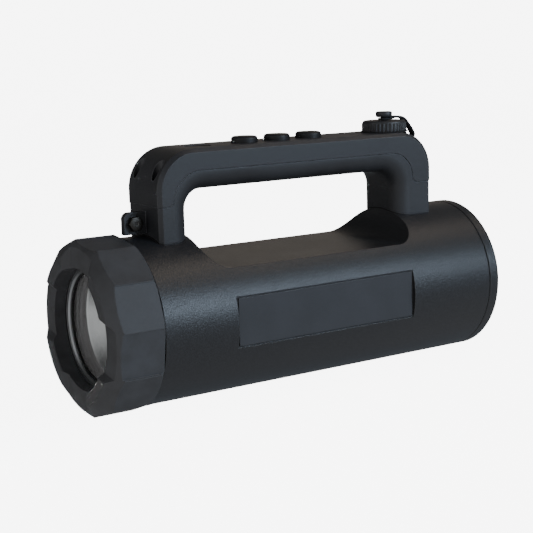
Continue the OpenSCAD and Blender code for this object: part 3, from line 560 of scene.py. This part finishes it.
# Dust cap. A moulded black screw cap with round grip ribs, drawn in a little upwards so that it
# leaves the mould, and a waisted knob; it covers the charging port, whose pins are plated.
gold = Finish("plated_pins", Metallic=1.0)
gold_grain = gold.grain(size=0.0004)
gold.feed(
    Base_Color=gold.between((0.66, 0.48, 0.19), (0.76, 0.58, 0.26), gold_grain),
    Roughness=0.22 + 0.1 * gold_grain)
gold.coat("port_pins")
PORT = (0.0751, 0.0, 0.133979)
on_port = Matrix.Translation(PORT)
CAP_FOOT, CAP_TOP, SKIRT_BORE, SKIRT_RADIUS = 0.0007, 0.0066, 0.0110, 0.0123
CAP_ROOF = CAP_TOP - 0.0018
NECK_RADIUS, KNOB_RADIUS, KNOB_FOOT = 0.00195, 0.0048, CAP_TOP + 0.0018
KNOB_TOP = KNOB_FOOT + 0.0033
cap_body = turned_mesh("cap_body", [
    (0.0, CAP_ROOF), (SKIRT_BORE, CAP_ROOF), (SKIRT_BORE, CAP_FOOT), (SKIRT_RADIUS, CAP_FOOT),
    (SKIRT_RADIUS, CAP_TOP - 0.0009), (SKIRT_RADIUS - 0.0002, CAP_TOP - 0.0005),
    (SKIRT_RADIUS - 0.0006, CAP_TOP - 0.0001), (SKIRT_RADIUS - 0.0012, CAP_TOP),
    (NECK_RADIUS, CAP_TOP), (NECK_RADIUS, KNOB_FOOT), (KNOB_RADIUS - 0.0008, KNOB_FOOT),
    (KNOB_RADIUS - 0.0004, KNOB_FOOT + 0.0002), (KNOB_RADIUS - 0.0001, KNOB_FOOT + 0.0006),
    (KNOB_RADIUS, KNOB_FOOT + 0.0025), (KNOB_RADIUS - 0.0002, KNOB_FOOT + 0.0030),
    (KNOB_RADIUS - 0.0008, KNOB_TOP), (0.0, KNOB_TOP)], on_port)
ribs = Shape("cap_ribs", Rib_Count=36, Rib_Circle=0.0122, Rib_Radius=0.0007, Rib_Height=0.0045,
             Foot_Height=PORT[2] + CAP_FOOT, Port_X=PORT[0])
rib_ring = ribs.add("GeometryNodeMeshCircle", {}, {
    "Vertices": ribs.size("Rib_Count"), "Radius": ribs.size("Rib_Circle")})
one_rib = ribs.add("GeometryNodeMeshCone", {}, {
    "Vertices": 16, "Radius Bottom": ribs.size("Rib_Radius"),
    "Radius Top": 0.97 * ribs.size("Rib_Radius"), "Depth": ribs.size("Rib_Height")})
all_ribs = ribs.add("GeometryNodeInstanceOnPoints", {}, {"Points": rib_ring, "Instance": one_rib})
ribs_up = ribs.add("GeometryNodeTransform", {}, {
    "Geometry": all_ribs,
    "Translation": ribs.add("ShaderNodeCombineXYZ", {}, {
        "X": ribs.size("Port_X"), "Z": ribs.size("Foot_Height")})})
ribbed = ribs.add("GeometryNodeJoinGeometry", {}, {0: ribs.base})
ribs.join(ribs_up, ribbed.socket.node.inputs[0])
ribbed_cap = ribs.make("ribbed_dust_cap", ribbed, black_plastic, cap_body, sharp=40)
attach(ribbed_cap, "port_cap")
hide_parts("dust_cap")

# Tether. A moulded rubber strap runs from the loop round the knob's neck, over the handle's rear
# corner and back to the thin ring under the cap.
EYE_Z = PORT[2] + 0.00685
# Points of (distance behind the port's middle, height).
strap_route = [
    (0.0029, EYE_Z + 0.00065), (0.00924, EYE_Z + 0.0014), (0.01386, EYE_Z + 0.00007),
    (0.01743, EYE_Z - 0.00376), (0.02037, EYE_Z - 0.00775), (0.0210, EYE_Z - 0.0098),
    (0.01953, EYE_Z - 0.0114), (0.01701, EYE_Z - 0.01083), (0.01335, PORT[2] + 0.00035)]
strap_line = bpy.data.curves.new("strap_line", "CURVE")
strap_line.dimensions = "3D"
spline = strap_line.splines.new("BEZIER")
spline.bezier_points.add(len(strap_route) - 1)
for knot, (behind, high) in zip(spline.bezier_points, strap_route):
    knot.co = (PORT[0] + behind, 0.0, high)
    knot.handle_left_type = knot.handle_right_type = "AUTO"
strap = Shape("strap_sweep", Width=0.0045, Thickness=0.0013, Edge_Round=0.0005, Steps=96)
strap_even = strap.add("GeometryNodeResampleCurve", {}, {
    "Curve": strap.base, "Count": strap.size("Steps")})
strap_facing = strap.add("GeometryNodeSetCurveNormal", {"mode": "FREE"}, {
    "Curve": strap_even, "Normal": (0.0, 1.0, 0.0)})
strap_section = strap.add("GeometryNodeCurvePrimitiveQuadrilateral", {"mode": "RECTANGLE"}, {
    "Width": strap.size("Width"), "Height": strap.size("Thickness")})
strap_round = strap.add("GeometryNodeFilletCurve", {"mode": "POLY"}, {
    "Curve": strap_section, "Count": 4, "Radius": strap.size("Edge_Round"), "Limit Radius": True})
strap_body = strap.add("GeometryNodeCurveToMesh", {}, {
    "Curve": strap_facing, "Profile Curve": strap_round, "Fill Caps": True})
strap_rubber = Finish("strap_rubber", Metallic=0.0, IOR=1.4, Specular_IOR_Level=0.25)
strap_grain = strap_rubber.grain(size=0.0005, detail=3.0)
strap_rubber.feed(
    Base_Color=strap_rubber.between(
        (0.0190, 0.0190, 0.0205), (0.0280, 0.0280, 0.0300), strap_grain),
    Roughness=0.62 + 0.14 * strap_grain,
    Normal=strap_rubber.bump(strap_grain, depth=0.00002))
tether_band = strap.make("tether_band", strap_body, strap_rubber, strap_line, sharp=50)
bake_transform(tether_band)
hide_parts("tether_strap")
EYE_BORE, EYE_RADIUS, EYE_TOP = 0.0022, 0.0035, EYE_Z + 0.0012
eye_profile = [
    (EYE_BORE, EYE_Z), (EYE_RADIUS - 0.0005, EYE_Z), (EYE_RADIUS - 0.0001, EYE_Z + 0.0002),
    (EYE_RADIUS, EYE_Z + 0.0006), (EYE_RADIUS - 0.0001, EYE_TOP - 0.0002),
    (EYE_RADIUS - 0.0005, EYE_TOP), (EYE_BORE, EYE_TOP)]
over_port = Matrix.Translation((PORT[0], 0.0, 0.0))
tether_loop = piece_from(
    "tether_loop", turned_mesh("tether_loop", eye_profile, over_port, 64), strap_rubber)
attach(tether_loop, "cap_eye")
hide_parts("tether_eye")
BAND_BORE, BAND_RADIUS, BAND_FOOT, BAND_TOP = 0.0106, 0.0137, 0.0001, 0.0006
band_profile = [
    (BAND_BORE, BAND_FOOT), (BAND_RADIUS - 0.0002, BAND_FOOT), (BAND_RADIUS, BAND_FOOT + 0.00015),
    (BAND_RADIUS, BAND_TOP - 0.00015), (BAND_RADIUS - 0.0002, BAND_TOP), (BAND_BORE, BAND_TOP)]
tether_ring = piece_from(
    "tether_ring", turned_mesh("tether_ring", band_profile, on_port), strap_rubber)
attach(tether_ring, "shell")
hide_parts("tether_strap")

# Studio. One round pale sweep of paper is floor and backdrop on every side. Soft boxes stand
# round the light, and two narrow gridded ones light its far side without a glint on the faces
# that the photo shows.
SWEEP_FLAT, SWEEP_BEND, SWEEP_TOP, BEND_STEPS = 3.0, 1.5, 8.0, 12
sweep_profile = [(0.0, 0.0), (SWEEP_FLAT, 0.0)]
for step in range(1, BEND_STEPS + 1):
    bend = math.pi / 2 * step / BEND_STEPS
    sweep_profile.append(
        (SWEEP_FLAT + SWEEP_BEND * math.sin(bend), SWEEP_BEND - SWEEP_BEND * math.cos(bend)))
sweep_profile.append((SWEEP_FLAT + SWEEP_BEND, SWEEP_TOP))
sweep = bpy.data.meshes.new("sweep")
sweep_work = bmesh.new()
sweep_line = [sweep_work.verts.new((r, 0.0, z)) for r, z in sweep_profile]
sweep_edges = [sweep_work.edges.new(pair) for pair in zip(sweep_line, sweep_line[1:])]
bmesh.ops.spin(sweep_work, geom=sweep_line + sweep_edges, cent=(0, 0, 0), axis=(0, 0, 1),
               angle=2 * math.pi, steps=96)
bmesh.ops.remove_doubles(sweep_work, verts=sweep_work.verts, dist=1e-5)
bmesh.ops.recalc_face_normals(sweep_work, faces=sweep_work.faces)
bmesh.ops.reverse_faces(sweep_work, faces=sweep_work.faces)
sweep_work.to_mesh(sweep)
sweep_work.free()
sweep.shade_smooth()
floor = bpy.data.objects.new("floor", sweep)
bpy.context.scene.collection.objects.link(floor)
paper = Finish("white_sweep", Base_Color=(0.90, 0.90, 0.90), Roughness=0.9,
               Emission_Color=(1.0, 1.0, 1.0), Emission_Strength=7.0)
floor.data.materials.append(paper.material)
floor.visible_glossy = False
floor.visible_diffuse = False
floor.visible_transmission = False
floor.visible_shadow = False

studio = bpy.data.worlds.new("studio")
studio.use_nodes = True
air = Tree(studio.node_tree)
facing = air.add("ShaderNodeTexCoord", output="Generated")


def glow_towards(direction, power):
    """How nearly a ray runs in a direction, from 1 along it to 0 square to it."""
    nearness = air.add("ShaderNodeVectorMath", {"operation": "DOT_PRODUCT"},
                       {0: facing, 1: Vector(direction).normalized()}, "Value")
    return air.math("MAXIMUM", nearness, 0.0) ** power


_, _, ray_rise = air.parts(facing)
room = air.steps(0.5 * ray_rise + 0.5,
                 (0.0, 0.52), (0.34, 0.52), (0.46, 0.14), (0.75, 0.12), (1.0, 0.06))
dark_under_back = glow_towards((-0.30, 0.9, -0.20), 5)
dark_under_right = glow_towards((0.53, 0.50, -0.68), 6)
warm_back = 0.40 * glow_towards((0.56, 0.81, 0.10), 16)
bright_left = glow_towards((-0.98, 0.10, -0.12), 10)
front_left = 0.55 * glow_towards((-0.55, -0.80, 0.20), 3)
shaded_room = room * (1 - 0.65 * dark_under_back) * (1 - 0.68 * dark_under_right)
neutral = shaded_room + bright_left + front_left
light = air.add("ShaderNodeCombineColor", {}, {
    "Red": neutral + warm_back,
    "Green": neutral + 0.84 * warm_back + 0.03 * dark_under_right,
    "Blue": neutral + 0.68 * warm_back + 0.07 * dark_under_right})
air.join(light, studio.node_tree.nodes["Background"].inputs["Color"])
bpy.context.scene.world = studio


def soft_box(name, place, target, width, height, watts, tint, spread=180):
    """A rectangular lamp that faces a target. A grid on it narrows its spread, in degrees."""
    lamp = bpy.data.lights.new(name, "AREA")
    lamp.shape = "RECTANGLE"
    lamp.size = width
    lamp.size_y = height
    lamp.energy = watts
    lamp.color = tint
    lamp.spread = math.radians(spread)
    stand = bpy.data.objects.new(name, lamp)
    bpy.context.scene.collection.objects.link(stand)
    aim = (Vector(target) - Vector(place)).to_track_quat("-Z", "Y")
    stand.matrix_world = Matrix.Translation(Vector(place)) @ aim.to_matrix().to_4x4()


MIDDLE = (0, 0, 0.06)
COOL, WARM = (0.67, 0.82, 1.0), (1.0, 0.84, 0.68)
WHITE, PALE_COOL = (1.0, 1.0, 1.0), (0.92, 0.96, 1.0)
soft_box("key", (0.62, -1.20, 0.50), MIDDLE, width=0.55, height=0.35, watts=14.5, tint=COOL)
soft_box("top", (0.69, -0.42, 1.30), MIDDLE, width=0.7, height=0.5, watts=4.5, tint=WARM)
soft_box("fill", (-1.5, -0.1, 0.60), MIDDLE, width=0.6, height=0.6, watts=2, tint=WHITE)
soft_box("back_low", (0.0, 1.35, -0.33), (0.0, 0, 0.02),
         width=0.28, height=0.08, watts=0.12, tint=PALE_COOL, spread=3)
soft_box("back_grip", (0.0, 1.35, 0.12), (0.0, 0, 0.12),
         width=0.17, height=0.04, watts=0.010, tint=PALE_COOL, spread=2)
